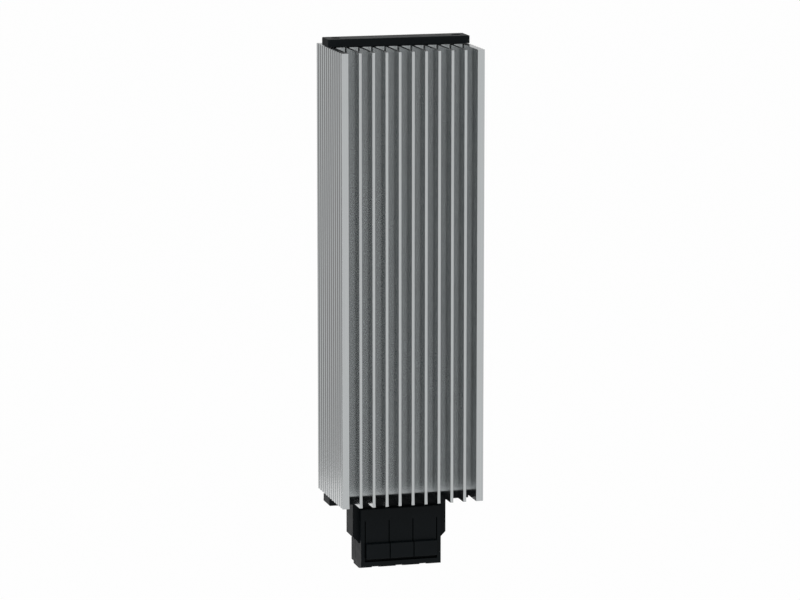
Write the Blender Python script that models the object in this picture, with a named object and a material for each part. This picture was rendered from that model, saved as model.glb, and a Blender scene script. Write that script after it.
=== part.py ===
"""Rail-mounted enclosure heater: a finned aluminium extrusion with a ceramic heating stack inside.

The sizes below are in millimetres and the finished meshes are in metres, with +Z up.
X runs across the fins, -Y is the finned front and +Y the back with the rail clip.
The origin is the middle of the rail seat: the rail's front face lies in the plane Y = 0.
"""
import math

import bmesh
import bpy

MM = 0.001

# Fits between pieces
CLEAR = 0.3
OVERCUT = 1.0

# Rounding of corners and circles
ARC_STEPS = 3
BEND_STEPS = 4
CORNER_STEPS = 5
ROUND_SEGMENTS = 20
ENTRY_SEGMENTS = 16
ROUND_PROFILE = 0.5
LONGEST_ARC_SHARE = 0.49
HALFWAY_ROUND = 1 - math.sqrt(0.5)
SMOOTH_ANGLE = math.radians(35)

# Extrusion
WIDTH = 70.0
DEPTH = 47.5
LENGTH = 218.5
FIN_COUNT = 9
FIN_THICK = 1.5
END_WALL = 3.5
REAR_FIN_DEPTH = 10.2
CORE_DEPTH = 12.0
TIP_RADIUS = 0.3
ROOT_RADIUS = 0.6
WALL_CORNER_RADIUS = 0.25
GROOVE_COUNT = 12
GROOVE_WIDTH = 2.2
GROOVE_DEPTH = 0.5
GROOVE_STEPS = 5
PORT_INSET = 5.25
PORT_BORE = 3.5
LAND_WIDTH = 18.0
LAND_WALL = 2.2

# Heating stack in the core channel, from the middle outwards
CHANNEL_SIDE = 13.0
CHANNEL_RADIUS = 0.4
STONE_THICK = 3.0
STONE_HEIGHT = 24.0
STONE_COUNT = 5
ELECTRODE_THICK = 0.5
ELECTRODE_MARGIN = 2.4
SLEEVE_WALL = 0.3
STACK_GAPS = 6
STACK_END_GAP = 5.0
TAB_REACH = 7.5
LOCATOR_MARGIN = 2.0
LOCATOR_RAIL = 3.8

# End plates
PLATE_THICK = 3.7
PLATE_CORNER = 0.6
PLATE_EDGE = 0.35
CAP_SPIGOT = 2.0

# Screws
SCREW_SHANK = 2.9
SCREW_HEAD = 4.0
SCREW_HEAD_HEIGHT = 1.5
SCREW_LENGTH = 14.0
SCREW_CROWN_SHARE = 0.35
SCREW_POINT_SHARE = 0.3
COUNTERBORE = 4.6
COUNTERBORE_DEPTH = 2.0
CROSS_WIDTH = 0.7
CROSS_SPAN = 2.4
CROSS_DEPTH = 0.8
CLIP_SCREW_HEAD = 5.6
CLIP_SCREW_HEAD_HEIGHT = 1.9
CLIP_SCREW_LENGTH = 6.0
CLIP_SCREW_SPACING = 14.0

# Terminal housing, moulded under the lower end plate
HOUSING_SIDE_WALL = 3.0
HOUSING_DROP = 20.2
HOUSING_CHAMFER = 2.6
HOUSING_LIP = 0.5
HOUSING_FRONT_WALL = 2.5
HOUSING_BACK_WALL = 1.6
LEAD_OPENING_SIDE = 3.0
SNAP_WIDTH = 6.0
SNAP_HEIGHT = 3.0
SNAP_DROP = 12.0

# Terminal block: two half shells with three poles
BLOCK_SIDE_WALL = 2.1
BLOCK_PROUD = 3.3
BLOCK_DEPTH = 18.4
BLOCK_PARTING = 11.0
BLOCK_TOP = 6.0
BLOCK_BOTTOM = 36.0
BLOCK_FRONT_RISE = 1.0
BLOCK_FRONT_RUN = 4.0
BLOCK_STEP_RISE = 1.2
BLOCK_STEP_RUN = 4.0
BLOCK_FLOOR = 2.1
BLOCK_BACK_SKIN = 1.6
SHELF = 1.3
SPIGOT_TOP = 8.0
SPIGOT_SKIN = 1.4
POLE_COUNT = 3
POLE_PITCH = 12.0
PARTITION = 1.2

# Press tongues, moulded in one with the front shell
TONGUE_THICK = 1.6
TONGUE_RELIEF = 0.8
SILL_THICK = 1.3
SLIT = 0.5
TONGUE_HINGE = 12.0
PAD_TOP = 22.7
PAD_SLOPE = 0.5
PAD_PROUD = 2.0
PAD_BOTTOM = 30.6
PAD_SLOT = 1.8
NOSE_WIDTH = 2.0
NOSE_HEIGHT = 1.8
NOSE_DROP = 28.7

# Wire entries
ENTRY_BORE = 3.0
ENTRY_RECESS_WIDTH = 4.4
ENTRY_RECESS_RISE = 1.3
ENTRY_RECESS_REAR = 0.5

# Contact bars and clamp springs
BAR_THICK = 0.8
BAR_WIDTH = 4.0
BAR_STAND_OFF = 2.0
BAR_END_GAP = 0.6
BAR_BEND = 1.0
BAR_TOP_GAP = 1.2
BAR_OFFSET = -1.0
SPRING_THICK = 0.5
SPRING_WIDTH = 7.0
SPRING_TIP_GAP = 0.5
SPRING_TIP_LIFT = 2.4
SPRING_BEND = 1.6
EYE_RADIUS = 3.0
ARM_WIDTH = 3.2

# Rail clip, a folded spring sheet for a 35 mm rail
RAIL_HEIGHT = 35.0
RAIL_FLANGE = 1.0
RAIL_PLAY = 0.4
CLIP_THICK = 1.0
CLIP_WIDTH = 18.0
SEAT_PROUD = 0.3
HOOK_OVERLAP = 1.3
CLIP_BEND = 1.1
LANCE_WIDTH = 8.0
LANCE_WINDOW = 5.0
CLIP_TAIL = 9.0
TAIL_SLOT_WIDTH = 5.0
TAIL_SLOT_HEIGHT = 1.6

# Sizes that follow from the ones above
PORT_SPACING = WIDTH - 2 * PORT_INSET
CHANNEL_WIDTH = WIDTH - 2 * CHANNEL_SIDE
CHANNEL_HEIGHT = STONE_THICK + 2 * (ELECTRODE_THICK + SLEEVE_WALL) + STACK_GAPS * CLEAR
LOCATOR_WIDTH = CHANNEL_WIDTH - 2 * (SLEEVE_WALL + 2 * CLEAR)
LOCATOR_LENGTH = LENGTH - 2 * (STACK_END_GAP + LOCATOR_MARGIN)
STONE_WIDTH = LOCATOR_WIDTH - 2 * (LOCATOR_RAIL + CLEAR)
STONE_PITCH = LOCATOR_LENGTH / STONE_COUNT
BLOCK_WIDTH = POLE_COUNT * POLE_PITCH + 2 * BLOCK_SIDE_WALL
HOUSING_WIDTH = BLOCK_WIDTH + 2 * (HOUSING_SIDE_WALL + CLEAR)
LEAD_OPENING_WIDTH = BLOCK_WIDTH - 2 * LEAD_OPENING_SIDE
SNAP_SPACING = (POLE_COUNT - 1) * POLE_PITCH

# Places that follow from the sizes above
FRONT = -(DEPTH + SEAT_PROUD)
BOTTOM = -LENGTH / 2
TOP = LENGTH / 2
CORE_BACK = FRONT + DEPTH - REAR_FIN_DEPTH
CORE_FRONT = CORE_BACK - CORE_DEPTH
CORE_MIDDLE = (CORE_FRONT + CORE_BACK) / 2
FIN_GAP = (WIDTH - 2 * END_WALL - FIN_COUNT * FIN_THICK) / (FIN_COUNT + 1)
FIN_PITCH = FIN_THICK + FIN_GAP
LAND = -(CLIP_THICK + CLEAR)
PLATE_TOP = BOTTOM - CLEAR
PLATE_UNDERSIDE = PLATE_TOP - PLATE_THICK
HOUSING_BOTTOM = BOTTOM - HOUSING_DROP - HOUSING_CHAMFER - HOUSING_LIP
BLOCK_FRONT = CORE_FRONT - BLOCK_PROUD
BLOCK_BACK = BLOCK_FRONT + BLOCK_DEPTH
PARTING = BLOCK_FRONT + BLOCK_PARTING
FORK = HOUSING_BOTTOM - CLEAR
CHAMBER_TOP = FORK - SHELF
CHAMBER_FLOOR = BOTTOM - BLOCK_BOTTOM + BLOCK_FLOOR
CHAMBER_BACK = BLOCK_BACK - BLOCK_BACK_SKIN
CHAMBER_WIDTH = POLE_PITCH - PARTITION
TONGUE_BACK = BLOCK_FRONT + TONGUE_THICK
SPIGOT_FRONT = CORE_FRONT + HOUSING_FRONT_WALL + CLEAR
SPIGOT_BACK = CORE_BACK - HOUSING_BACK_WALL - CLEAR
BAR_Y = TONGUE_BACK + TONGUE_RELIEF + BAR_STAND_OFF
POLES = [POLE_PITCH * (i - (POLE_COUNT - 1) / 2) for i in range(POLE_COUNT)]
STONE_FACE = STONE_THICK / 2
ELECTRODE_FACE = STONE_FACE + CLEAR


# Materials

def finish(name, colour, roughness, metallic):
    """A plain Principled material."""
    material = bpy.data.materials.new(name)
    material.use_nodes = True
    shader = material.node_tree.nodes["Principled BSDF"]
    shader.inputs["Base Color"].default_value = (*colour, 1.0)
    shader.inputs["Roughness"].default_value = roughness
    shader.inputs["Metallic"].default_value = metallic
    return material


# Outlines

def rounded(corners, steps=ARC_STEPS):
    """The outline through (u, v, radius) corners, each corner turned into an arc."""
    points = []
    count = len(corners)
    for i, (u, v, radius) in enumerate(corners):
        if radius == 0:
            points.append((u, v))
            continue
        before = corners[i - 1]
        after = corners[(i + 1) % count]
        arm_a = math.hypot(before[0] - u, before[1] - v)
        arm_b = math.hypot(after[0] - u, after[1] - v)
        toward_a = ((before[0] - u) / arm_a, (before[1] - v) / arm_a)
        toward_b = ((after[0] - u) / arm_b, (after[1] - v) / arm_b)
        cosine = toward_a[0] * toward_b[0] + toward_a[1] * toward_b[1]
        half = math.acos(max(-1.0, min(1.0, cosine))) / 2
        reach = min(radius / math.tan(half), LONGEST_ARC_SHARE * arm_a, LONGEST_ARC_SHARE * arm_b)
        start = (u + toward_a[0] * reach, v + toward_a[1] * reach)
        end = (u + toward_b[0] * reach, v + toward_b[1] * reach)
        bisector = (toward_a[0] + toward_b[0], toward_a[1] + toward_b[1])
        length = math.hypot(*bisector)
        centre_reach = reach / math.cos(half)
        centre = (u + bisector[0] / length * centre_reach, v + bisector[1] / length * centre_reach)
        angle_a = math.atan2(start[1] - centre[1], start[0] - centre[0])
        angle_b = math.atan2(end[1] - centre[1], end[0] - centre[0])
        turn = (angle_b - angle_a + math.pi) % (2 * math.pi) - math.pi
        arc_radius = math.hypot(start[0] - centre[0], start[1] - centre[1])
        for step in range(steps + 1):
            angle = angle_a + turn * step / steps
            points.append((centre[0] + arc_radius * math.cos(angle),
                           centre[1] + arc_radius * math.sin(angle)))
    return points


def rectangle(u0, u1, v0, v1, radius=0.0):
    """Corners of an upright rectangle, in the form that rounded() takes."""
    return [(u0, v0, radius), (u1, v0, radius), (u1, v1, radius), (u0, v1, radius)]


def circle(u, v, diameter, segments=ROUND_SEGMENTS):
    """Points around a circle."""
    return [(u + diameter / 2 * math.cos(2 * math.pi * i / segments),
             v + diameter / 2 * math.sin(2 * math.pi * i / segments)) for i in range(segments)]


def sheet_outline(path, thickness, bend):
    """The closed outline of a folded sheet whose middle runs along the path, with rounded bends."""
    count = len(path)
    sides = ([], [])
    for i, point in enumerate(path):
        if i == 0:
            directions = [(path[1][0] - point[0], path[1][1] - point[1])]
        elif i == count - 1:
            directions = [(point[0] - path[i - 1][0], point[1] - path[i - 1][1])]
        else:
            directions = [(point[0] - path[i - 1][0], point[1] - path[i - 1][1]),
                          (path[i + 1][0] - point[0], path[i + 1][1] - point[1])]
        units = [(a / math.hypot(a, b), b / math.hypot(a, b)) for a, b in directions]
        normals = [(-b, a) for a, b in units]
        normal = (sum(n[0] for n in normals), sum(n[1] for n in normals))
        length = math.hypot(*normal)
        normal = (normal[0] / length, normal[1] / length)
        share = normal[0] * normals[0][0] + normal[1] * normals[0][1]
        offset = thickness / 2 / share
        turn = 0.0
        if len(units) == 2:
            turn = units[0][0] * units[1][1] - units[0][1] * units[1][0]
        for side, sign in enumerate((1, -1)):
            radius = 0.0
            if turn:
                radius = bend + (thickness / 2 if turn * sign < 0 else -thickness / 2)
            sides[side].append((point[0] + normal[0] * offset * sign,
                                point[1] + normal[1] * offset * sign, max(radius, 0.0)))
    return rounded(sides[0] + sides[1][::-1], BEND_STEPS)


# Solids

def place(axis, u, v, w):
    """The point (u, v) of a flat outline at distance w along the axis that it's drawn square to."""
    if axis == "X":
        return (w * MM, u * MM, v * MM)
    if axis == "Y":
        return (u * MM, w * MM, v * MM)
    return (u * MM, v * MM, w * MM)


def add_prism(bm, axis, outline, start, end, holes=()):
    """Add a straight extrusion of an outline, with holes that run through it."""
    loops = [outline, *holes]
    edges = []
    rims = []
    for loop in loops:
        verts = [bm.verts.new(place(axis, u, v, start)) for u, v in loop]
        rims.append(verts)
        for i, vert in enumerate(verts):
            edges.append(bm.edges.new((vert, verts[(i + 1) % len(verts)])))
    if holes:
        filled = bmesh.ops.triangle_fill(bm, edges=edges, use_beauty=True)
        faces = [item for item in filled["geom"] if isinstance(item, bmesh.types.BMFace)]
    else:
        faces = [bm.faces.new(rims[0])]
    lifted = bmesh.ops.extrude_face_region(bm, geom=faces, use_keep_orig=True)
    new_verts = [item for item in lifted["geom"] if isinstance(item, bmesh.types.BMVert)]
    shift = [b - a for a, b in zip(place(axis, 0, 0, start), place(axis, 0, 0, end))]
    bmesh.ops.translate(bm, verts=new_verts, vec=shift)


def add_box(bm, x, y, z):
    """Add a box from its three (low, high) pairs."""
    outline = [(x[0], y[0]), (x[1], y[0]), (x[1], y[1]), (x[0], y[1])]
    add_prism(bm, "Z", outline, z[0], z[1])


def add_stack(bm, x, y, radius, levels):
    """Add an upright rounded block whose outline is drawn in by an inset at each (z, inset) level."""
    rings = []
    for z, inset in levels:
        corners = rectangle(x[0] + inset, x[1] - inset, y[0] + inset, y[1] - inset, radius - inset)
        rings.append([bm.verts.new((u * MM, v * MM, z * MM)) for u, v in rounded(corners, CORNER_STEPS)])
    bm.faces.new(rings[0])
    bm.faces.new(rings[-1])
    for low, high in zip(rings, rings[1:]):
        for i in range(len(low)):
            j = (i + 1) % len(low)
            bm.faces.new((low[i], low[j], high[j], high[i]))


def add_turned(bm, profile, centre=(0.0, 0.0), segments=ROUND_SEGMENTS):
    """Add a body turned about Z from a (radius, z) profile that starts and ends on the axis."""
    rings = []
    for radius, z in profile:
        if radius == 0:
            rings.append([bm.verts.new((centre[0] * MM, centre[1] * MM, z * MM))])
        else:
            rings.append([bm.verts.new((u * MM, v * MM, z * MM))
                          for u, v in circle(centre[0], centre[1], 2 * radius, segments)])
    for low, high in zip(rings, rings[1:]):
        for i in range(segments):
            j = (i + 1) % segments
            corners = [low[i % len(low)], low[j % len(low)], high[j % len(high)], high[i % len(high)]]
            bm.faces.new(list(dict.fromkeys(corners)))


def make(name, bm, material=None, parent=None):
    """Turn the finished mesh into an object with outward faces."""
    bmesh.ops.recalc_face_normals(bm, faces=bm.faces)
    mesh = bpy.data.meshes.new(name)
    bm.to_mesh(mesh)
    bm.free()
    mesh.shade_smooth()
    mesh.set_sharp_from_angle(angle=SMOOTH_ANGLE)
    if material:
        mesh.materials.append(material)
    return link(name, mesh, parent)


def link(name, mesh, parent=None):
    """Put a mesh in the scene under a name; a mesh can be shared by several objects."""
    item = bpy.data.objects.new(name, mesh)
    bpy.context.scene.collection.objects.link(item)
    item.parent = parent
    return item


def combine(target, name, bm, operation="DIFFERENCE"):
    """Cut a hidden tool out of the target, or join it on."""
    tool = make(name, bm)
    tool.hide_render = True
    tool.display_type = "WIRE"
    modifier = target.modifiers.new(name, "BOOLEAN")
    modifier.operation = operation
    modifier.object = tool


# Extrusion

def fin_centres():
    """X of each front fin."""
    return [FIN_PITCH * (i - (FIN_COUNT - 1) / 2) for i in range(FIN_COUNT)]


def comb(teeth, root):
    """A row of teeth along X: (low, high, tip depth) each, joined at the root depth."""
    corners = []
    for i, (low, high, depth) in enumerate(teeth):
        if i > 0:
            corners.append((low, root, ROOT_RADIUS))
            corners.append((low, depth, TIP_RADIUS))
        if i < len(teeth) - 1:
            corners.append((high, depth, TIP_RADIUS))
            corners.append((high, root, ROOT_RADIUS))
    return corners


def grooved_side(x, inward):
    """Points down the outside of an end wall, front to back, with its row of round grooves."""
    pitch = DEPTH / GROOVE_COUNT
    points = []
    for i in range(GROOVE_COUNT):
        middle = FRONT + pitch * (i + 0.5)
        for step in range(GROOVE_STEPS + 1):
            angle = math.pi * step / GROOVE_STEPS
            points.append((x + inward * GROOVE_DEPTH * math.sin(angle),
                           middle - GROOVE_WIDTH / 2 * math.cos(angle), 0.0))
    return points


def extrusion_outline():
    """The section of the extrusion, anticlockwise from its front left corner."""
    half = WIDTH / 2
    inner = half - END_WALL
    back = FRONT + DEPTH
    fins = [(x - FIN_THICK / 2, x + FIN_THICK / 2) for x in fin_centres()]
    front_teeth = [(-half, -inner, FRONT)] + [(a, b, FRONT) for a, b in fins] + [(inner, half, FRONT)]
    free = LAND_WIDTH / 2 + FIN_THICK
    rear_fins = [(a, b, back) for a, b in fins if min(abs(a), abs(b)) > free]
    land = (-LAND_WIDTH / 2, LAND_WIDTH / 2, LAND)
    rear_teeth = sorted([(-half, -inner, back), land, (inner, half, back)] + rear_fins)
    corner = WALL_CORNER_RADIUS
    corners = [(-half, FRONT, corner)] + comb(front_teeth, CORE_FRONT)
    corners += [(half, FRONT, corner)] + grooved_side(half, -1)
    corners += [(half, back, corner)] + comb(rear_teeth, CORE_BACK)[::-1]
    corners += [(-half, back, corner)] + grooved_side(-half, 1)[::-1]
    return rounded(corners)


def build_heatsink(material, parent):
    """The finned body: front fins, core with the stack's channel and screw ports, rear fins and land."""
    half = CHANNEL_WIDTH / 2
    channel = rounded(rectangle(-half, half, CORE_MIDDLE - CHANNEL_HEIGHT / 2,
                                CORE_MIDDLE + CHANNEL_HEIGHT / 2, CHANNEL_RADIUS))
    ports = [circle(side * PORT_SPACING / 2, CORE_MIDDLE, PORT_BORE) for side in (-1, 1)]
    hollow = rounded(rectangle(-LAND_WIDTH / 2 + LAND_WALL, LAND_WIDTH / 2 - LAND_WALL,
                               CORE_BACK, LAND - LAND_WALL, ROOT_RADIUS))
    bm = bmesh.new()
    add_prism(bm, "Z", extrusion_outline(), BOTTOM, TOP, [channel, *ports, hollow])
    heatsink = make("heatsink", bm, material, parent)
    holes = bmesh.new()
    for z in clip_screw_heights():
        bore = circle(0.0, z, SCREW_SHANK + 2 * CLEAR)
        add_prism(holes, "Y", bore, LAND - LAND_WALL - OVERCUT, LAND + OVERCUT)
    combine(heatsink, "clip_hole_tool", holes)


# Heating stack

def build_stones(material, parent):
    """The row of heating ceramics."""
    bm = bmesh.new()
    half = (STONE_WIDTH / 2, STONE_THICK / 2, STONE_HEIGHT / 2)
    add_box(bm, (-half[0], half[0]), (-half[1], half[1]), (-half[2], half[2]))
    first = make("ptc_stone_1", bm, material, parent)
    for i in range(STONE_COUNT):
        stone = first if i == 0 else link("ptc_stone_%d" % (i + 1), first.data, parent)
        z = STONE_PITCH * (i - (STONE_COUNT - 1) / 2)
        stone.location = (0.0, CORE_MIDDLE * MM, z * MM)


def build_locator(material, parent):
    """The ladder that keeps the stones apart."""
    half = (LOCATOR_WIDTH / 2, LOCATOR_LENGTH / 2)
    outline = rounded(rectangle(-half[0], half[0], -half[1], half[1], ROOT_RADIUS))
    windows = []
    for i in range(STONE_COUNT):
        z = STONE_PITCH * (i - (STONE_COUNT - 1) / 2)
        windows.append(rounded(rectangle(-STONE_WIDTH / 2 - CLEAR, STONE_WIDTH / 2 + CLEAR,
                                         z - STONE_HEIGHT / 2 - CLEAR, z + STONE_HEIGHT / 2 + CLEAR)))
    bm = bmesh.new()
    add_prism(bm, "Y", outline, CORE_MIDDLE - STONE_FACE, CORE_MIDDLE + STONE_FACE, windows)
    make("stone_locator", bm, material, parent)


def build_electrode(name, side, pole, material, parent):
    """A contact sheet over all the stones, with a tab that runs down to its contact bar."""
    half = CHANNEL_WIDTH / 2 - SLEEVE_WALL - CLEAR - ELECTRODE_MARGIN
    high = LOCATOR_LENGTH / 2
    low = -high
    tab = pole + BAR_OFFSET
    corners = [(-half, low, 0), (tab - BAR_WIDTH / 2, low, ROOT_RADIUS),
               (tab - BAR_WIDTH / 2, BOTTOM - TAB_REACH, TIP_RADIUS),
               (tab + BAR_WIDTH / 2, BOTTOM - TAB_REACH, TIP_RADIUS),
               (tab + BAR_WIDTH / 2, low, ROOT_RADIUS), (half, low, 0), (half, high, 0), (-half, high, 0)]
    near = CORE_MIDDLE + side * ELECTRODE_FACE
    far = near + side * ELECTRODE_THICK
    bm = bmesh.new()
    add_prism(bm, "Y", rounded(corners), min(near, far), max(near, far))
    make(name, bm, material, parent)


def build_sleeve(material, parent):
    """The insulating sleeve around the stack, open at both ends."""
    half = CHANNEL_WIDTH / 2 - CLEAR
    depth = CHANNEL_HEIGHT / 2 - CLEAR
    outer = rounded(rectangle(-half, half, CORE_MIDDLE - depth, CORE_MIDDLE + depth, CHANNEL_RADIUS))
    half -= SLEEVE_WALL
    depth -= SLEEVE_WALL
    inner = rounded(rectangle(-half, half, CORE_MIDDLE - depth, CORE_MIDDLE + depth))
    bm = bmesh.new()
    add_prism(bm, "Z", outer, BOTTOM + STACK_END_GAP, TOP - STACK_END_GAP, [inner])
    make("insulating_sleeve", bm, material, parent)


# End plates and their screws

def build_top_cap(material, parent):
    """The moulded plate over the upper end, with a spigot in the channel."""
    half = WIDTH / 2
    low = TOP + CLEAR
    high = low + PLATE_THICK
    bm = bmesh.new()
    halfway = PLATE_EDGE * HALFWAY_ROUND
    add_stack(bm, (-half, half), (CORE_FRONT, CORE_BACK), PLATE_CORNER,
              [(low, 0), (high - PLATE_EDGE, 0), (high - halfway, halfway), (high, PLATE_EDGE)])
    cap = make("top_cap", bm, material, parent)
    spigot = bmesh.new()
    spigot_half = CHANNEL_WIDTH / 2 - CLEAR
    spigot_depth = CHANNEL_HEIGHT / 2 - CLEAR
    add_stack(spigot, (-spigot_half, spigot_half), (CORE_MIDDLE - spigot_depth, CORE_MIDDLE + spigot_depth),
              CHANNEL_RADIUS + CLEAR, [(TOP - CAP_SPIGOT, 0), (low + PLATE_THICK / 2, 0)])
    combine(cap, "cap_spigot_tool", spigot, "UNION")
    combine(cap, "cap_screw_tool", screw_bores(high, 1))


def screw_bores(surface, outward):
    """Both stepped screw holes through an end plate whose outer surface is given."""
    bore = (SCREW_SHANK + 2 * CLEAR) / 2
    floor = surface - outward * COUNTERBORE_DEPTH
    through = surface - outward * (PLATE_THICK + OVERCUT)
    outside = surface + outward * OVERCUT
    tool = bmesh.new()
    for side in (-1, 1):
        profile = [(0, through), (bore, through), (bore, floor),
                   (COUNTERBORE / 2, floor), (COUNTERBORE / 2, outside), (0, outside)]
        add_turned(tool, profile, (side * PORT_SPACING / 2, CORE_MIDDLE))
    return tool


def screw_mesh(name, head, head_height, length, material):
    """A cross-recessed pan-head screw: the head stands on Z = 0 and the shank points down."""
    bm = bmesh.new()
    crown = head_height * SCREW_CROWN_SHARE
    point = SCREW_SHANK * SCREW_POINT_SHARE
    profile = [(0, -length), (point, -length), (SCREW_SHANK / 2, -length + point), (SCREW_SHANK / 2, 0),
               (head / 2, 0), (head / 2, head_height - crown),
               (head / 2 - crown * HALFWAY_ROUND, head_height - crown * HALFWAY_ROUND),
               (head / 2 - crown, head_height), (0, head_height)]
    add_turned(bm, profile)
    screw = make(name, bm, material)
    arm = CROSS_WIDTH / 2
    span = CROSS_SPAN / 2
    cross = [(-arm, -span), (arm, -span), (arm, -arm), (span, -arm), (span, arm), (arm, arm),
             (arm, span), (-arm, span), (-arm, arm), (-span, arm), (-span, -arm), (-arm, -arm)]
    tool = bmesh.new()
    add_prism(tool, "Z", cross, head_height - CROSS_DEPTH, head_height + OVERCUT)
    combine(screw, name + "_cross_tool", tool)
    bpy.context.view_layer.update()
    depsgraph = bpy.context.evaluated_depsgraph_get()
    mesh = bpy.data.meshes.new_from_object(screw.evaluated_get(depsgraph))
    mesh.name = name
    mesh.set_sharp_from_angle(angle=SMOOTH_ANGLE)
    for item in (screw.modifiers[0].object, screw):
        bpy.data.objects.remove(item, do_unlink=True)
    return mesh


def build_end_screws(material, parent):
    """Two screws through each end plate into the extrusion's screw ports."""
    mesh = screw_mesh("end_screw", SCREW_HEAD, SCREW_HEAD_HEIGHT, SCREW_LENGTH, material)
    seat = COUNTERBORE_DEPTH - CLEAR
    for side, word in ((-1, "left"), (1, "right")):
        x = side * PORT_SPACING / 2
        upper = link("top_screw_" + word, mesh, parent)
        upper.location = (x * MM, CORE_MIDDLE * MM, (TOP + CLEAR + PLATE_THICK - seat) * MM)
        lower = link("bottom_screw_" + word, mesh, parent)
        lower.location = (x * MM, CORE_MIDDLE * MM, (PLATE_UNDERSIDE + seat) * MM)
        lower.rotation_euler = (math.pi, 0.0, 0.0)


# Terminal housing

def build_housing(material, parent):
    """The lower end plate with the socket for the terminal block moulded under it."""
    half = WIDTH / 2
    box = HOUSING_WIDTH / 2
    chamfer_top = BOTTOM - HOUSING_DROP
    right = [(half, PLATE_TOP, 0), (half, PLATE_UNDERSIDE, PLATE_EDGE), (box, PLATE_UNDERSIDE, ROOT_RADIUS),
             (box, chamfer_top, 0), (box - HOUSING_CHAMFER, chamfer_top - HOUSING_CHAMFER, 0),
             (box - HOUSING_CHAMFER, HOUSING_BOTTOM, 0)]
    left = [(-x, z, radius) for x, z, radius in right[::-1]]
    bm = bmesh.new()
    add_prism(bm, "Y", rounded(right + left), CORE_FRONT, CORE_BACK)
    round_plate_ends(bm, half)
    housing = make("terminal_housing", bm, material, parent)
    socket = bmesh.new()
    socket_half = BLOCK_WIDTH / 2 + CLEAR
    back = CORE_BACK - HOUSING_BACK_WALL
    add_box(socket, (-socket_half, socket_half), (CORE_FRONT + HOUSING_FRONT_WALL, back),
            (HOUSING_BOTTOM - OVERCUT, PLATE_UNDERSIDE))
    combine(housing, "socket_tool", socket)
    opening = bmesh.new()
    lead_half = LEAD_OPENING_WIDTH / 2
    lead_depth = CHANNEL_HEIGHT / 2 - SLEEVE_WALL
    add_box(opening, (-lead_half, lead_half), (CORE_MIDDLE - lead_depth, CORE_MIDDLE + lead_depth),
            (PLATE_UNDERSIDE - OVERCUT, PLATE_TOP + OVERCUT))
    combine(housing, "lead_opening_tool", opening)
    combine(housing, "plate_screw_tool", screw_bores(PLATE_UNDERSIDE, -1))
    combine(housing, "earth_recess_tool", earth_recess())
    windows = bmesh.new()
    for x in snap_centres():
        snap_half = SNAP_WIDTH / 2 + CLEAR
        add_box(windows, (x - snap_half, x + snap_half), (back - OVERCUT, CORE_BACK + OVERCUT),
                (BOTTOM - SNAP_DROP - SNAP_HEIGHT - CLEAR, BOTTOM - SNAP_DROP + CLEAR))
    combine(housing, "snap_window_tool", windows)


def round_plate_ends(bm, half):
    """Round the four upright corners of the lower end plate as on the top cap."""
    edges = []
    for edge in bm.edges:
        a, b = (vert.co / MM for vert in edge.verts)
        upright = math.hypot(a.x - b.x, a.y - b.y) < CLEAR < abs(a.z - b.z)
        at_end = min(abs(a.x), abs(b.x)) > half - CLEAR / 2
        if upright and at_end:
            edges.append(edge)
    bmesh.ops.bevel(bm, geom=edges, offset=PLATE_CORNER * MM, segments=CORNER_STEPS, profile=ROUND_PROFILE,
                    affect="EDGES")


def snap_centres():
    """X of the two snap noses."""
    return [-SNAP_SPACING / 2, SNAP_SPACING / 2]


# Terminal block

def pole_prisms(outline, half_width):
    """The same (y, z) outline drawn across X at each pole."""
    bm = bmesh.new()
    for x in POLES:
        add_prism(bm, "X", outline, x - half_width, x + half_width)
    return bm


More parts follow.
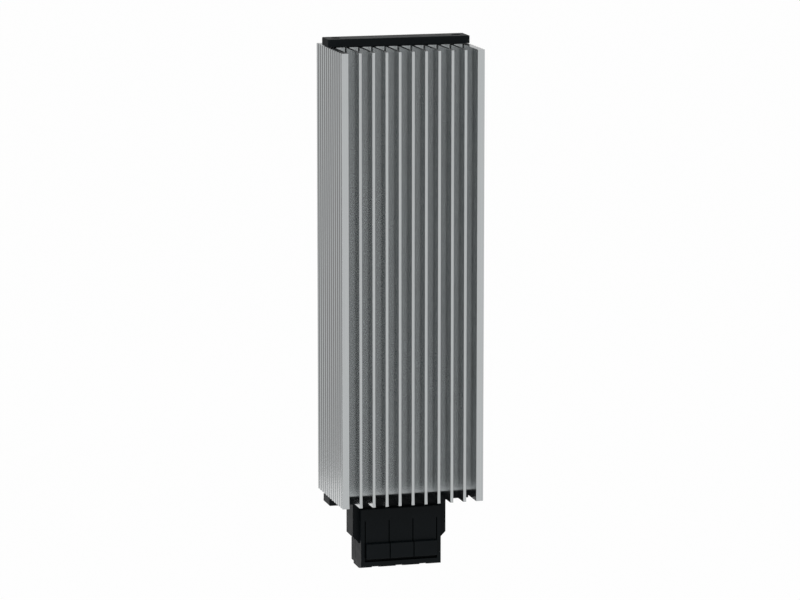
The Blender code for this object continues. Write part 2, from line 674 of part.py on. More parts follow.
def build_front_shell(material, parent):
    """The front half of the terminal block, with three press tongues in its face."""
    half = BLOCK_WIDTH / 2
    bottom = BOTTOM - BLOCK_BOTTOM
    panel_back = CORE_FRONT - CLEAR
    profile = [(BLOCK_FRONT, BOTTOM - BLOCK_TOP, ROOT_RADIUS), (panel_back, BOTTOM - BLOCK_TOP, 0),
               (panel_back, FORK, 0), (SPIGOT_FRONT, FORK, 0), (SPIGOT_FRONT, BOTTOM - SPIGOT_TOP, 0),
               (PARTING, BOTTOM - SPIGOT_TOP, 0), (PARTING, bottom, 0),
               (BLOCK_FRONT + BLOCK_FRONT_RUN, bottom, 0),
               (BLOCK_FRONT, bottom + BLOCK_FRONT_RISE, TIP_RADIUS)]
    bm = bmesh.new()
    add_prism(bm, "X", rounded(profile), -half, half)
    shell = make("terminal_front_shell", bm, material, parent)
    combine(shell, "pad_tool", pole_prisms(pad_profile(), POLE_PITCH / 2 - SLIT / 2), "UNION")
    inner = SPIGOT_FRONT + SPIGOT_SKIN
    front = TONGUE_BACK + TONGUE_RELIEF / 2
    sill_back = TONGUE_BACK + TONGUE_RELIEF + SILL_THICK
    sill_top = BOTTOM - PAD_BOTTOM
    chamber = [(sill_back, CHAMBER_FLOOR), (PARTING + OVERCUT, CHAMBER_FLOOR),
               (PARTING + OVERCUT, BOTTOM - SPIGOT_TOP + OVERCUT), (inner, BOTTOM - SPIGOT_TOP + OVERCUT),
               (inner, CHAMBER_TOP), (front, CHAMBER_TOP), (front, sill_top), (sill_back, sill_top)]
    combine(shell, "front_chamber_tool", pole_prisms(chamber, CHAMBER_WIDTH / 2))
    relief = bmesh.new()
    relief_half = POLE_COUNT * POLE_PITCH / 2 + SLIT / 2
    pocket = [(TONGUE_BACK, CHAMBER_FLOOR), (TONGUE_BACK + TONGUE_RELIEF, CHAMBER_FLOOR),
              (TONGUE_BACK + TONGUE_RELIEF, CHAMBER_TOP),
              (panel_back + OVERCUT, CHAMBER_TOP + SHELF + OVERCUT),
              (panel_back + OVERCUT, BOTTOM - TONGUE_HINGE), (TONGUE_BACK, BOTTOM - TONGUE_HINGE)]
    add_prism(relief, "X", pocket, -relief_half, relief_half)
    combine(shell, "tongue_relief_tool", relief)
    combine(shell, "nose_tool", nose_prisms(), "UNION")
    combine(shell, "slit_tool", tongue_slits())
    combine(shell, "entry_recess_tool", entry_recesses())
    combine(shell, "entry_tool", wire_entries())


def pad_profile():
    """Side outline of a tongue's raised press pad."""
    sunk = BLOCK_FRONT + TONGUE_THICK / 2
    proud = BLOCK_FRONT - PAD_PROUD
    return rounded([(sunk, BOTTOM - PAD_TOP, 0), (BLOCK_FRONT, BOTTOM - PAD_TOP, 0),
                    (proud, BOTTOM - PAD_TOP - PAD_SLOPE, ROOT_RADIUS),
                    (proud, BOTTOM - PAD_BOTTOM, TIP_RADIUS), (sunk, BOTTOM - PAD_BOTTOM, 0)])


def nose_prisms():
    """The nose behind each tongue that pushes its spring open."""
    low = BOTTOM - NOSE_DROP - NOSE_HEIGHT / 2
    high = low + NOSE_HEIGHT
    reach = spring_leg_y(low) - SPRING_THICK / 2 - 2 * CLEAR
    tool = bmesh.new()
    for x in POLES:
        start = x + BAR_OFFSET + BAR_WIDTH / 2 + 2 * CLEAR
        add_box(tool, (start, start + NOSE_WIDTH), (BLOCK_FRONT + TONGUE_THICK / 2, reach), (low, high))
    return tool


def tongue_slits():
    """The comb-shaped cut that frees the three tongues at their sides and lower ends."""
    slot_top = BOTTOM - PAD_BOTTOM
    slot_bottom = slot_top - PAD_SLOT
    hinge = BOTTOM - TONGUE_HINGE
    count = POLE_COUNT + 1
    lines = [POLE_PITCH * (i - POLE_COUNT / 2) for i in range(count)]
    outline = [(lines[0] - SLIT / 2, slot_bottom), (lines[-1] + SLIT / 2, slot_bottom)]
    for x in lines[::-1]:
        outline += [(x + SLIT / 2, slot_top), (x + SLIT / 2, hinge),
                    (x - SLIT / 2, hinge), (x - SLIT / 2, slot_top)]
    outline = [point for i, point in enumerate(outline) if i not in (2, len(outline) - 1)]
    tool = bmesh.new()
    add_prism(tool, "Y", outline, BLOCK_FRONT - PAD_PROUD - OVERCUT, TONGUE_BACK + TONGUE_RELIEF / 2)
    return tool


def entry_y():
    """Depth of the wire entries: between the contact bar and the spring's foot."""
    return BAR_Y + BAR_THICK / 2 + CLEAR + ENTRY_BORE / 2


def wire_entries():
    """The round wire entry under each pole."""
    low = BOTTOM - BLOCK_BOTTOM - OVERCUT
    high = CHAMBER_FLOOR + OVERCUT
    tool = bmesh.new()
    for x in POLES:
        profile = [(0, low), (ENTRY_BORE / 2, low), (ENTRY_BORE / 2, high), (0, high)]
        add_turned(tool, profile, (x + BAR_OFFSET, entry_y()), ENTRY_SEGMENTS)
    return tool


def entry_recesses():
    """The shallow recess around each wire entry, open toward the block's front edge."""
    low = BOTTOM - BLOCK_BOTTOM - OVERCUT
    high = BOTTOM - BLOCK_BOTTOM + ENTRY_RECESS_RISE
    rear = entry_y() + ENTRY_BORE / 2 + ENTRY_RECESS_REAR
    tool = bmesh.new()
    for x in POLES:
        middle = x + BAR_OFFSET / 2
        add_box(tool, (middle - ENTRY_RECESS_WIDTH / 2, middle + ENTRY_RECESS_WIDTH / 2),
                (BLOCK_FRONT - OVERCUT, rear), (low, high))
    return tool


def build_rear_shell(material, parent):
    """The rear half of the terminal block, with two snap noses for the housing."""
    half = BLOCK_WIDTH / 2
    bottom = BOTTOM - BLOCK_BOTTOM
    face = PARTING + CLEAR
    top = BOTTOM - SPIGOT_TOP
    profile = [(face, top, 0), (SPIGOT_BACK, top, 0), (SPIGOT_BACK, FORK, 0), (BLOCK_BACK, FORK, ROOT_RADIUS),
               (BLOCK_BACK, bottom + BLOCK_STEP_RISE, 0),
               (BLOCK_BACK - BLOCK_STEP_RUN, bottom + BLOCK_STEP_RISE, 0),
               (BLOCK_BACK - BLOCK_STEP_RUN, bottom, 0), (face, bottom, 0)]
    bm = bmesh.new()
    add_prism(bm, "X", rounded(profile), -half, half)
    shell = make("terminal_rear_shell", bm, material, parent)
    inner = SPIGOT_BACK - SPIGOT_SKIN
    chamber = [(face - OVERCUT, CHAMBER_FLOOR), (CHAMBER_BACK, CHAMBER_FLOOR), (CHAMBER_BACK, CHAMBER_TOP),
               (inner, CHAMBER_TOP), (inner, top + OVERCUT), (face - OVERCUT, top + OVERCUT)]
    combine(shell, "rear_chamber_tool", pole_prisms(chamber, CHAMBER_WIDTH / 2))
    snaps = bmesh.new()
    high = BOTTOM - SNAP_DROP
    low = high - SNAP_HEIGHT
    wedge = [(SPIGOT_BACK - SPIGOT_SKIN / 2, low), (SPIGOT_BACK + HOUSING_BACK_WALL, low),
             (SPIGOT_BACK + CLEAR, high), (SPIGOT_BACK - SPIGOT_SKIN / 2, high)]
    for x in snap_centres():
        add_prism(snaps, "X", wedge, x - SNAP_WIDTH / 2, x + SNAP_WIDTH / 2)
    combine(shell, "snap_tool", snaps, "UNION")


# Contact bars and clamp springs

def bar_path(riser_y, top):
    """Middle line of a contact bar: clamp face, shelf and riser to the stack."""
    shelf_z = CHAMBER_TOP - CLEAR - BAR_THICK / 2
    return [(BAR_Y, CHAMBER_FLOOR + BAR_END_GAP), (BAR_Y, shelf_z), (riser_y, shelf_z), (riser_y, top)]


def build_contact_bar(name, pole, riser_y, material, parent):
    """A stamped bar from the clamp up to the electrode's tab."""
    centre = pole + BAR_OFFSET
    outline = sheet_outline(bar_path(riser_y, PLATE_TOP - BAR_TOP_GAP), BAR_THICK, BAR_BEND)
    bm = bmesh.new()
    add_prism(bm, "X", outline, centre - BAR_WIDTH / 2, centre + BAR_WIDTH / 2)
    make(name, bm, material, parent)


def earth_recess():
    """The groove in the lower end plate that the earth bar's arm lies in."""
    tool = bmesh.new()
    arm = ARM_WIDTH / 2 + CLEAR
    end = PORT_SPACING / 2
    start = POLES[-1] + BAR_OFFSET
    eye = EYE_RADIUS + CLEAR
    floor = PLATE_TOP - BAR_THICK - CLEAR
    outline = eyed_outline(start, end, arm, eye)
    add_prism(tool, "Z", outline, floor, PLATE_TOP + OVERCUT)
    return tool


def eyed_outline(start, end, arm, eye):
    """Top outline of a straight arm along X that ends in a round eye."""
    join = math.asin(arm / eye)
    points = [(start, CORE_MIDDLE + arm), (start, CORE_MIDDLE - arm)]
    first = -math.pi + join
    for i in range(ROUND_SEGMENTS + 1):
        angle = first + (2 * math.pi - 2 * join) * i / ROUND_SEGMENTS
        points.append((end + eye * math.cos(angle), CORE_MIDDLE + eye * math.sin(angle)))
    return points


def build_earth_bar(material, parent):
    """The earth contact: the same clamp face and riser, with an arm to the lower right screw."""
    centre = POLES[-1] + BAR_OFFSET
    outline = sheet_outline(bar_path(CORE_MIDDLE, PLATE_TOP - BAR_THICK / 2), BAR_THICK, BAR_BEND)
    bm = bmesh.new()
    add_prism(bm, "X", outline, centre - BAR_WIDTH / 2, centre + BAR_WIDTH / 2)
    bar = make("contact_bar_earth", bm, material, parent)
    arm = bmesh.new()
    end = PORT_SPACING / 2
    hole = circle(end, CORE_MIDDLE, SCREW_SHANK + 2 * CLEAR)
    add_prism(arm, "Z", eyed_outline(centre - BAR_WIDTH / 2, end, ARM_WIDTH / 2, EYE_RADIUS),
              PLATE_TOP - BAR_THICK, PLATE_TOP, [hole])
    combine(bar, "earth_arm_tool", arm, "UNION")


def spring_points():
    """Middle line of a clamp spring: foot against the back, crown under the shelf, leg to the bar."""
    back = CHAMBER_BACK - CLEAR - SPRING_THICK / 2
    crown = CHAMBER_TOP - CLEAR - SPRING_THICK / 2
    tip = (BAR_Y + BAR_THICK / 2 + SPRING_TIP_GAP + SPRING_THICK / 2, CHAMBER_FLOOR + SPRING_TIP_LIFT)
    return [(back, CHAMBER_FLOOR + CLEAR), (back, crown), (back - 2 * SPRING_BEND, crown), tip]


def spring_leg_y(z):
    """Depth of the front of the spring's leg at a height."""
    top, tip = spring_points()[2:]
    share = (z - tip[1]) / (top[1] - tip[1])
    lean = math.hypot(top[0] - tip[0], top[1] - tip[1]) / (top[1] - tip[1])
    return tip[0] + share * (top[0] - tip[0]) - SPRING_THICK / 2 * (lean - 1)


def build_springs(material, parent):
    """One clamp spring at each pole."""
    low = BAR_OFFSET - BAR_WIDTH / 2
    bm = bmesh.new()
    add_prism(bm, "X", sheet_outline(spring_points(), SPRING_THICK, SPRING_BEND), low, low + SPRING_WIDTH)
    names = ["clamp_spring_line", "clamp_spring_neutral", "clamp_spring_earth"]
    first = make(names[0], bm, material, parent)
    for name, x in zip(names, POLES):
        spring = first if name == names[0] else link(name, first.data, parent)
        spring.location = (x * MM, 0.0, 0.0)


# Rail clip

def clip_screw_heights():
    """Z of the two screws that hold the clip."""
    return [-CLIP_SCREW_SPACING / 2, CLIP_SCREW_SPACING / 2]


def build_rail_clip(material, parent):
    """The folded clip: fixed upper hook, seat, lower hook lanced from the sheet, and a release tail."""
    half = CLIP_WIDTH / 2
    middle = -CLIP_THICK / 2
    edge = RAIL_HEIGHT / 2 + RAIL_PLAY + CLIP_THICK / 2
    hook_y = RAIL_FLANGE + RAIL_PLAY + CLIP_THICK / 2
    tip = RAIL_HEIGHT / 2 - HOOK_OVERLAP
    tail = -edge - CLIP_TAIL
    path = [(hook_y, tip), (hook_y, edge), (middle, edge), (middle, tail)]
    bm = bmesh.new()
    add_prism(bm, "X", sheet_outline(path, CLIP_THICK, CLIP_BEND), -half, half)
    clip = make("rail_clip", bm, material, parent)
    lance_half = LANCE_WIDTH / 2
    window = bmesh.new()
    window_top = -edge - CLIP_THICK / 2
    add_box(window, (-lance_half - CLEAR, lance_half + CLEAR), (-CLIP_THICK - OVERCUT, OVERCUT),
            (window_top - LANCE_WINDOW, window_top))
    combine(clip, "lance_window_tool", window)
    lance = bmesh.new()
    lance_path = [(middle, -edge), (hook_y, -edge), (hook_y, -tip)]
    add_prism(lance, "X", sheet_outline(lance_path, CLIP_THICK, CLIP_BEND), -lance_half, lance_half)
    combine(clip, "lance_tool", lance, "UNION")
    holes = bmesh.new()
    for z in clip_screw_heights():
        add_prism(holes, "Y", circle(0.0, z, SCREW_SHANK + 2 * CLEAR), -CLIP_THICK - OVERCUT, OVERCUT)
    slot_low = tail + TAIL_SLOT_HEIGHT
    slot = rounded(rectangle(-TAIL_SLOT_WIDTH / 2, TAIL_SLOT_WIDTH / 2, slot_low, slot_low + TAIL_SLOT_HEIGHT,
                             ROOT_RADIUS))
    add_prism(holes, "Y", slot, -CLIP_THICK - OVERCUT, OVERCUT)
    combine(clip, "clip_hole_cut_tool", holes)


def build_clip_screws(material, parent):
    """The two screws that hold the clip on its land."""
    mesh = screw_mesh("clip_screw", CLIP_SCREW_HEAD, CLIP_SCREW_HEAD_HEIGHT, CLIP_SCREW_LENGTH, material)
    for z, word in zip(clip_screw_heights(), ("lower", "upper")):
        screw = link("clip_screw_" + word, mesh, parent)
        screw.location = (0.0, CLEAR * MM, z * MM)
        screw.rotation_euler = (-math.pi / 2, 0.0, 0.0)


# Assembly

def main():
    """Build every piece of the heater."""
    for item in list(bpy.data.objects):
        bpy.data.objects.remove(item, do_unlink=True)
    frame = bpy.data.objects.new("enclosure_heater", None)
    bpy.context.scene.collection.objects.link(frame)

    aluminium = finish("anodised_aluminium", (0.47, 0.49, 0.49), 0.35, 1.0)
    plastic = finish("black_plastic", (0.012, 0.012, 0.013), 0.4, 0.0)
    zinc = finish("zinc_plated_steel", (0.55, 0.55, 0.56), 0.35, 1.0)
    spring_steel = finish("spring_steel", (0.42, 0.42, 0.43), 0.3, 1.0)
    copper = finish("tinned_copper", (0.62, 0.60, 0.56), 0.3, 1.0)
    sheet = finish("aluminium_sheet", (0.7, 0.71, 0.72), 0.3, 1.0)
    ceramic = finish("heating_ceramic", (0.24, 0.23, 0.21), 0.7, 0.0)
    film = finish("amber_film", (0.45, 0.2, 0.04), 0.25, 0.0)
    mica = finish("locator_plastic", (0.6, 0.57, 0.5), 0.6, 0.0)

    build_heatsink(aluminium, frame)
    build_stones(ceramic, frame)
    build_locator(mica, frame)
    build_electrode("electrode_front", -1, POLES[0], sheet, frame)
    build_electrode("electrode_rear", 1, POLES[1], sheet, frame)
    build_sleeve(film, frame)
    build_top_cap(plastic, frame)
    build_end_screws(zinc, frame)
    build_housing(plastic, frame)
    build_front_shell(plastic, frame)
    build_rear_shell(plastic, frame)
    riser = ELECTRODE_FACE - CLEAR - BAR_THICK / 2
    build_contact_bar("contact_bar_line", POLES[0], CORE_MIDDLE - riser, copper, frame)
    build_contact_bar("contact_bar_neutral", POLES[1], CORE_MIDDLE + riser, copper, frame)
    build_earth_bar(copper, frame)
    build_springs(spring_steel, frame)
    build_rail_clip(zinc, frame)
    build_clip_screws(zinc, frame)


main()
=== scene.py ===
"""Looks of the enclosure heater: procedural materials, a pale studio and the camera."""
import math

import bpy
from mathutils import Matrix, Vector

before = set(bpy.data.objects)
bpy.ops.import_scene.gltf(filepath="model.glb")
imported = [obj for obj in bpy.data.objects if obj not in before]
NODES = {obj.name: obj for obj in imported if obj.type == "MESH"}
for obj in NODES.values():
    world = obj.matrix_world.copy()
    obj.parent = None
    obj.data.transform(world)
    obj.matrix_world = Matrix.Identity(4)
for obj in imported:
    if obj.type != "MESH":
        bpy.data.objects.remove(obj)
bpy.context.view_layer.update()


# Node helpers

def new_material(name):
    """An empty node material with its Principled shader."""
    material = bpy.data.materials.new(name)
    material.use_nodes = True
    tree = material.node_tree
    return material, tree, tree.nodes["Principled BSDF"]


def add(tree, kind, **values):
    """A node of that kind, with its attributes set."""
    node = tree.nodes.new("ShaderNode" + kind)
    for name, value in values.items():
        setattr(node, name, value)
    return node


def scaled(tree, scale, rotation=(0.0, 0.0, 0.0)):
    """Object coordinates, stretched by a scale for each axis."""
    coords = add(tree, "TexCoord")
    mapping = add(tree, "Mapping")
    mapping.inputs["Scale"].default_value = scale
    mapping.inputs["Rotation"].default_value = rotation
    tree.links.new(coords.outputs["Object"], mapping.inputs["Vector"])
    return mapping.outputs["Vector"]


def noise(tree, scale, detail=3.0, roughness=0.55, distortion=0.0):
    """Noise over scaled object coordinates."""
    node = add(tree, "TexNoise")
    node.inputs["Scale"].default_value = 1.0
    node.inputs["Detail"].default_value = detail
    node.inputs["Roughness"].default_value = roughness
    node.inputs["Distortion"].default_value = distortion
    tree.links.new(scaled(tree, scale), node.inputs["Vector"])
    return node.outputs["Fac"]


def spread(tree, value, low, high, start=0.3, end=0.7):
    """The value mapped from start..end to low..high."""
    node = add(tree, "MapRange")
    node.inputs["From Min"].default_value = start
    node.inputs["From Max"].default_value = end
    node.inputs["To Min"].default_value = low
    node.inputs["To Max"].default_value = high
    tree.links.new(value, node.inputs["Value"])
    return node.outputs["Result"]


def math_node(tree, operation, a, b):
    """One arithmetic step; either input may be a plain number."""
    node = add(tree, "Math", operation=operation)
    for socket, value in zip(node.inputs, (a, b)):
        if isinstance(value, (int, float)):
            socket.default_value = value
        else:
            tree.links.new(value, socket)
    return node.outputs[0]


def blend(tree, factor, a, b):
    """Mix of two values by a factor."""
    node = add(tree, "Mix", data_type="FLOAT")
    tree.links.new(factor, node.inputs[0])
    for socket, value in ((node.inputs[2], a), (node.inputs[3], b)):
        if isinstance(value, (int, float)):
            socket.default_value = value
        else:
            tree.links.new(value, socket)
    return node.outputs[0]


def tones(tree, value, dark, light, start=0.3, end=0.7):
    """A colour between two tones."""
    ramp = add(tree, "ValToRGB")
    ramp.color_ramp.elements[0].position = start
    ramp.color_ramp.elements[1].position = end
    ramp.color_ramp.elements[0].color = (*dark, 1.0)
    ramp.color_ramp.elements[1].color = (*light, 1.0)
    tree.links.new(value, ramp.inputs["Fac"])
    return ramp.outputs["Color"]


def seen_ray(tree):
    """One for rays that come from the camera, a mirror or clear glass, zero for all others."""
    path = add(tree, "LightPath")
    seen = math_node(tree, "MAXIMUM", path.outputs["Is Camera Ray"], path.outputs["Is Glossy Ray"])
    return math_node(tree, "MAXIMUM", seen, path.outputs["Is Transmission Ray"])


def relief(tree, height, depth):
    """A bump normal from a height map; depth is in metres."""
    node = add(tree, "Bump")
    node.inputs["Strength"].default_value = 1.0
    node.inputs["Distance"].default_value = depth
    tree.links.new(height, node.inputs["Height"])
    return node.outputs["Normal"]


# Materials

def extruded_aluminium():
    """Anodised extrusion: die lines along its length, saw marks on its cut ends."""
    material, tree, shader = new_material("anodised_aluminium_look")
    link = tree.links.new
    shader.inputs["Metallic"].default_value = 1.0
    shader.inputs["Coat Weight"].default_value = 1.0
    shader.inputs["Coat Roughness"].default_value = 0.12
    die_lines = noise(tree, (1500.0, 1500.0, 9.0), 4.0, 0.6)
    saw_marks = noise(tree, (60.0, 2600.0, 1.0), 3.0, 0.6, 0.4)
    cloud = noise(tree, (55.0, 55.0, 22.0), 3.0, 0.5)
    geometry = add(tree, "NewGeometry")
    parts = add(tree, "SeparateXYZ")
    link(geometry.outputs["Normal"], parts.inputs[0])
    cut_end = math_node(tree, "GREATER_THAN", math_node(tree, "ABSOLUTE", parts.outputs["Z"], 0.0), 0.9)
    marks = blend(tree, cut_end, die_lines, saw_marks)
    marks_part = math_node(tree, "MULTIPLY", marks, 0.6)
    cloud_part = math_node(tree, "MULTIPLY", cloud, 0.4)
    mixed = math_node(tree, "ADD", marks_part, cloud_part)
    colour = tones(tree, mixed, (0.415, 0.433, 0.438), (0.440, 0.458, 0.462), 0.35, 0.65)
    link(colour, shader.inputs["Base Color"])
    rough = spread(tree, mixed, 0.16, 0.20, 0.35, 0.65)
    link(blend(tree, cut_end, rough, math_node(tree, "ADD", rough, 0.03)), shader.inputs["Roughness"])
    link(relief(tree, marks, 0.000002), shader.inputs["Normal"])
    return material


def moulded_black():
    """Black moulded plastic with a fine spark-eroded grain and faint flow marks."""
    material, tree, shader = new_material("black_plastic_look")
    link = tree.links.new
    grain = noise(tree, (2600.0, 2600.0, 2600.0), 2.0, 0.6)
    flow = noise(tree, (70.0, 70.0, 110.0), 4.0, 0.6, 0.8)
    shader.inputs["Specular IOR Level"].default_value = 0.08
    link(tones(tree, flow, (0.0018, 0.0030, 0.0037), (0.0030, 0.0044, 0.0053)), shader.inputs["Base Color"])
    link(spread(tree, flow, 0.40, 0.50), shader.inputs["Roughness"])
    link(relief(tree, grain, 0.000010), shader.inputs["Normal"])
    return material


def zinc_plate():
    """Bright zinc plating: slightly blue, with soft blotches and rolled lines."""
    material, tree, shader = new_material("zinc_plated_steel_look")
    link = tree.links.new
    shader.inputs["Metallic"].default_value = 1.0
    blotch = noise(tree, (260.0, 260.0, 260.0), 3.0, 0.6, 0.6)
    rolled = noise(tree, (3200.0, 3200.0, 60.0), 2.0, 0.5)
    link(tones(tree, blotch, (0.52, 0.53, 0.54), (0.62, 0.63, 0.63)), shader.inputs["Base Color"])
    link(spread(tree, blotch, 0.26, 0.40), shader.inputs["Roughness"])
    link(relief(tree, rolled, 0.000006), shader.inputs["Normal"])
    return material


def black_zinc():
    """Black passivated zinc plating: matt, with faint blotches."""
    material, tree, shader = new_material("black_zinc_plated_steel_look")
    link = tree.links.new
    shader.inputs["Specular IOR Level"].default_value = 0.03
    blotch = noise(tree, (320.0, 320.0, 320.0), 3.0, 0.6, 0.4)
    grain = noise(tree, (3000.0, 3000.0, 3000.0), 2.0, 0.6)
    link(tones(tree, blotch, (0.005, 0.005, 0.006), (0.010, 0.010, 0.011)), shader.inputs["Base Color"])
    link(spread(tree, blotch, 0.60, 0.74), shader.inputs["Roughness"])
    link(relief(tree, grain, 0.000006), shader.inputs["Normal"])
    return material


def rolled_metal(name, dark, light, scale, rough):
    """Strip metal with fine rolled lines along one direction."""
    material, tree, shader = new_material(name)
    link = tree.links.new
    shader.inputs["Metallic"].default_value = 1.0
    lines = noise(tree, scale, 3.0, 0.6)
    stain = noise(tree, (180.0, 180.0, 120.0), 3.0, 0.6, 0.5)
    link(tones(tree, stain, dark, light), shader.inputs["Base Color"])
    link(spread(tree, lines, *rough), shader.inputs["Roughness"])
    link(relief(tree, lines, 0.000005), shader.inputs["Normal"])
    return material


def heating_ceramic():
    """Sintered ceramic: dense speckle and a dry, fine surface."""
    material, tree, shader = new_material("heating_ceramic_look")
    link = tree.links.new
    speck = noise(tree, (3800.0, 3800.0, 3800.0), 2.0, 0.7)
    patch = noise(tree, (240.0, 240.0, 240.0), 3.0, 0.5)
    mixed = math_node(tree, "MULTIPLY", speck, patch)
    link(tones(tree, mixed, (0.16, 0.15, 0.13), (0.28, 0.27, 0.24), 0.15, 0.4), shader.inputs["Base Color"])
    link(spread(tree, patch, 0.62, 0.78), shader.inputs["Roughness"])
    link(relief(tree, speck, 0.000015), shader.inputs["Normal"])
    return material


def amber_film():
    """Polyimide film: amber, glossy, with slight waves from being wrapped."""
    material, tree, shader = new_material("amber_film_look")
    link = tree.links.new
    waves = noise(tree, (90.0, 90.0, 26.0), 2.0, 0.5, 0.8)
    fine = noise(tree, (900.0, 900.0, 500.0), 2.0, 0.5)
    link(tones(tree, waves, (0.40, 0.17, 0.030), (0.52, 0.25, 0.055)), shader.inputs["Base Color"])
    link(spread(tree, fine, 0.16, 0.26), shader.inputs["Roughness"])
    link(relief(tree, waves, 0.0002), shader.inputs["Normal"])
    return material


def locator_board():
    """Pressed mica board: pale, with overlapping flakes."""
    material, tree, shader = new_material("locator_plastic_look")
    link = tree.links.new
    cells = add(tree, "TexVoronoi")
    cells.inputs["Scale"].default_value = 1.0
    link(scaled(tree, (420.0, 420.0, 420.0)), cells.inputs["Vector"])
    flake = add(tree, "SeparateXYZ")
    link(cells.outputs["Color"], flake.inputs[0])
    colour = tones(tree, flake.outputs["X"], (0.50, 0.46, 0.38), (0.66, 0.63, 0.56), 0.0, 1.0)
    link(colour, shader.inputs["Base Color"])
    link(spread(tree, flake.outputs["Y"], 0.45, 0.65, 0.0, 1.0), shader.inputs["Roughness"])
    link(relief(tree, flake.outputs["Z"], 0.00002), shader.inputs["Normal"])
    return material


ALUMINIUM = extruded_aluminium()
PLASTIC = moulded_black()
ZINC = zinc_plate()
BLACK_ZINC = black_zinc()
SPRING = rolled_metal("spring_steel_look",
                      (0.36, 0.36, 0.37), (0.46, 0.46, 0.47), (2600.0, 60.0, 2600.0), (0.24, 0.36))
COPPER = rolled_metal("tinned_copper_look",
                      (0.56, 0.54, 0.50), (0.68, 0.66, 0.62), (2600.0, 2600.0, 60.0), (0.22, 0.34))
SHEET = rolled_metal("aluminium_sheet_look",
                     (0.64, 0.65, 0.66), (0.76, 0.77, 0.78), (2200.0, 2200.0, 30.0), (0.24, 0.36))
CERAMIC = heating_ceramic()
FILM = amber_film()
BOARD = locator_board()

LOOKS = {
    "heatsink": ALUMINIUM,
    "top_cap": PLASTIC,
    "terminal_housing": PLASTIC,
    "terminal_front_shell": PLASTIC,
    "terminal_rear_shell": PLASTIC,
    "top_screw_left": BLACK_ZINC,
    "top_screw_right": BLACK_ZINC,
    "bottom_screw_left": BLACK_ZINC,
    "bottom_screw_right": BLACK_ZINC,
    "clip_screw_lower": ZINC,
    "clip_screw_upper": ZINC,
    "rail_clip": ZINC,
    "contact_bar_line": COPPER,
    "contact_bar_neutral": COPPER,
    "contact_bar_earth": COPPER,
    "clamp_spring_line": SPRING,
    "clamp_spring_neutral": SPRING,
    "clamp_spring_earth": SPRING,
    "electrode_front": SHEET,
    "electrode_rear": SHEET,
    "ptc_stone_1": CERAMIC,
    "ptc_stone_2": CERAMIC,
    "ptc_stone_3": CERAMIC,
    "ptc_stone_4": CERAMIC,
    "ptc_stone_5": CERAMIC,
    "stone_locator": BOARD,
    "insulating_sleeve": FILM,
}
for name, look in LOOKS.items():
    slots = NODES[name].material_slots
    for slot in slots:
        slot.material = look


# Studio

FLOOR_HEIGHT = -0.30
LEFT_PANEL_STRENGTH = 0.27
REAR_PANEL_STRENGTH = 0.52
KEY_WATTS = 9.0
SIDE_WATTS = 5.0


def pale_floor():
    """A wide pale floor below the hanging heater."""
    half = 6.0
    height = FLOOR_HEIGHT
    mesh = bpy.data.meshes.new("floor")
    corners = [(-half, -half, height), (half, -half, height), (half, half, height), (-half, half, height)]
    mesh.from_pydata(corners, [], [(0, 1, 2, 3)])
    floor = bpy.data.objects.new("floor", mesh)
    bpy.context.scene.collection.objects.link(floor)
    material, tree, shader = new_material("floor_look")
    link = tree.links.new
    shader.inputs["Base Color"].default_value = (0.86, 0.86, 0.86, 1.0)
    shader.inputs["Roughness"].default_value = 0.8
    shader.inputs["Specular IOR Level"].default_value = 0.1
    glow = add(tree, "Emission")
    glow.inputs["Color"].default_value = (1.0, 1.0, 1.0, 1.0)
    glow.inputs["Strength"].default_value = 1.0
    mix = add(tree, "MixShader")
    link(math_node(tree, "MULTIPLY", seen_ray(tree), 0.97), mix.inputs["Fac"])
    link(shader.outputs["BSDF"], mix.inputs[1])
    link(glow.outputs["Emission"], mix.inputs[2])
    link(mix.outputs["Shader"], tree.nodes["Material Output"].inputs["Surface"])
    mesh.materials.append(material)


def pale_world():
    """White where it is seen or mirrored, and a soft even light otherwise."""
    world = bpy.data.worlds.new("studio")
    bpy.context.scene.world = world
    world.use_nodes = True
    tree = world.node_tree
    link = tree.links.new
    background = tree.nodes["Background"]
    background.inputs["Color"].default_value = (1.0, 1.0, 1.0, 1.0)
    link(blend(tree, seen_ray(tree), 0.7, 1.0), background.inputs["Strength"])


def grey_panel(name, corners, strength):
    """A grey panel that the camera doesn't see and the metal and plastic mirror."""
    mesh = bpy.data.meshes.new(name)
    mesh.from_pydata(corners, [], [(0, 1, 2, 3)])
    panel = bpy.data.objects.new(name, mesh)
    bpy.context.scene.collection.objects.link(panel)
    panel.visible_camera = False
    panel.visible_shadow = False
    material, tree, shader = new_material(name + "_look")
    shader.inputs["Base Color"].default_value = (0.0, 0.0, 0.0, 1.0)
    shader.inputs["Emission Color"].default_value = (1.0, 1.0, 1.0, 1.0)
    shader.inputs["Emission Strength"].default_value = strength
    mesh.materials.append(material)


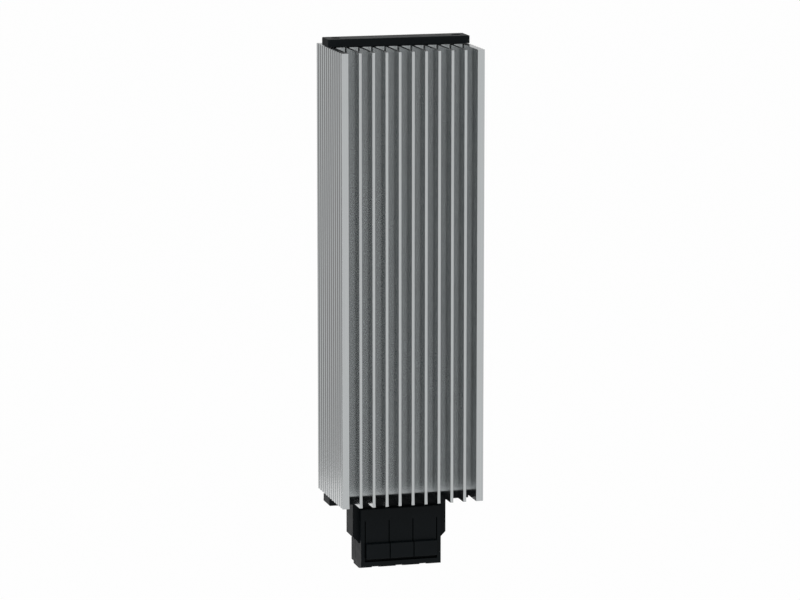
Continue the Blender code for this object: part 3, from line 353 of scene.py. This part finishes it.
def softbox(name, place, aim, size, energy):
    """A large square lamp turned toward a point."""
    lamp = bpy.data.lights.new(name, "AREA")
    lamp.shape = "RECTANGLE"
    lamp.size, lamp.size_y = size
    lamp.energy = energy
    item = bpy.data.objects.new(name, lamp)
    item.location = place
    item.rotation_euler = (Vector(aim) - Vector(place)).to_track_quat("-Z", "Y").to_euler()
    bpy.context.scene.collection.objects.link(item)


pale_floor()
pale_world()
grey_panel("left_panel", [(-1.6, -0.4, -0.29), (0.0, 0.99, -0.29), (0.0, 0.99, 0.6), (-1.6, -0.4, 0.6)],
           LEFT_PANEL_STRENGTH)
grey_panel("rear_panel", [(-1.2, 1.2, 0.1), (1.2, 1.2, 0.1), (1.2, 1.2, 0.9), (-1.2, 1.2, 0.9)],
           REAR_PANEL_STRENGTH)
softbox("key", (-0.5, -1.1, 0.9), (0.0, 0.0, 0.05), (0.9, 0.7), KEY_WATTS)
softbox("side", (-1.2, 0.1, -0.05), (0.0, 0.0, -0.05), (0.7, 0.7), SIDE_WATTS)


# Camera

AZIMUTH = math.radians(-15.4042)
ELEVATION = math.radians(10.2002)
ROLL = math.radians(0.0117)
DISTANCE = 1.8415176
TARGET = Vector((-0.0066101, -0.0478, -0.0089459))
FOCAL_PX = 3879.4461
FRAME_PX = 800.0

back = Vector((math.sin(AZIMUTH) * math.cos(ELEVATION), -math.cos(AZIMUTH) * math.cos(ELEVATION),
               math.sin(ELEVATION)))
level = Vector((math.cos(AZIMUTH), math.sin(AZIMUTH), 0.0))
upward = back.cross(level)
right = level * math.cos(ROLL) + upward * math.sin(ROLL)
upward = upward * math.cos(ROLL) - level * math.sin(ROLL)
lens = bpy.data.cameras.new("camera")
lens.sensor_width = 36.0
lens.lens = FOCAL_PX * 36.0 / FRAME_PX
lens.clip_start = 0.05
lens.clip_end = 50.0
camera = bpy.data.objects.new("camera", lens)
place = TARGET + back * DISTANCE
camera.matrix_world = Matrix((
    (right.x, upward.x, back.x, place.x),
    (right.y, upward.y, back.y, place.y),
    (right.z, upward.z, back.z, place.z),
    (0.0, 0.0, 0.0, 1.0)))
bpy.context.scene.collection.objects.link(camera)
bpy.context.scene.camera = camera

bpy.context.scene.view_settings.view_transform = "Standard"
bpy.context.scene.cycles.max_bounces = 32
bpy.context.scene.cycles.glossy_bounces = 32
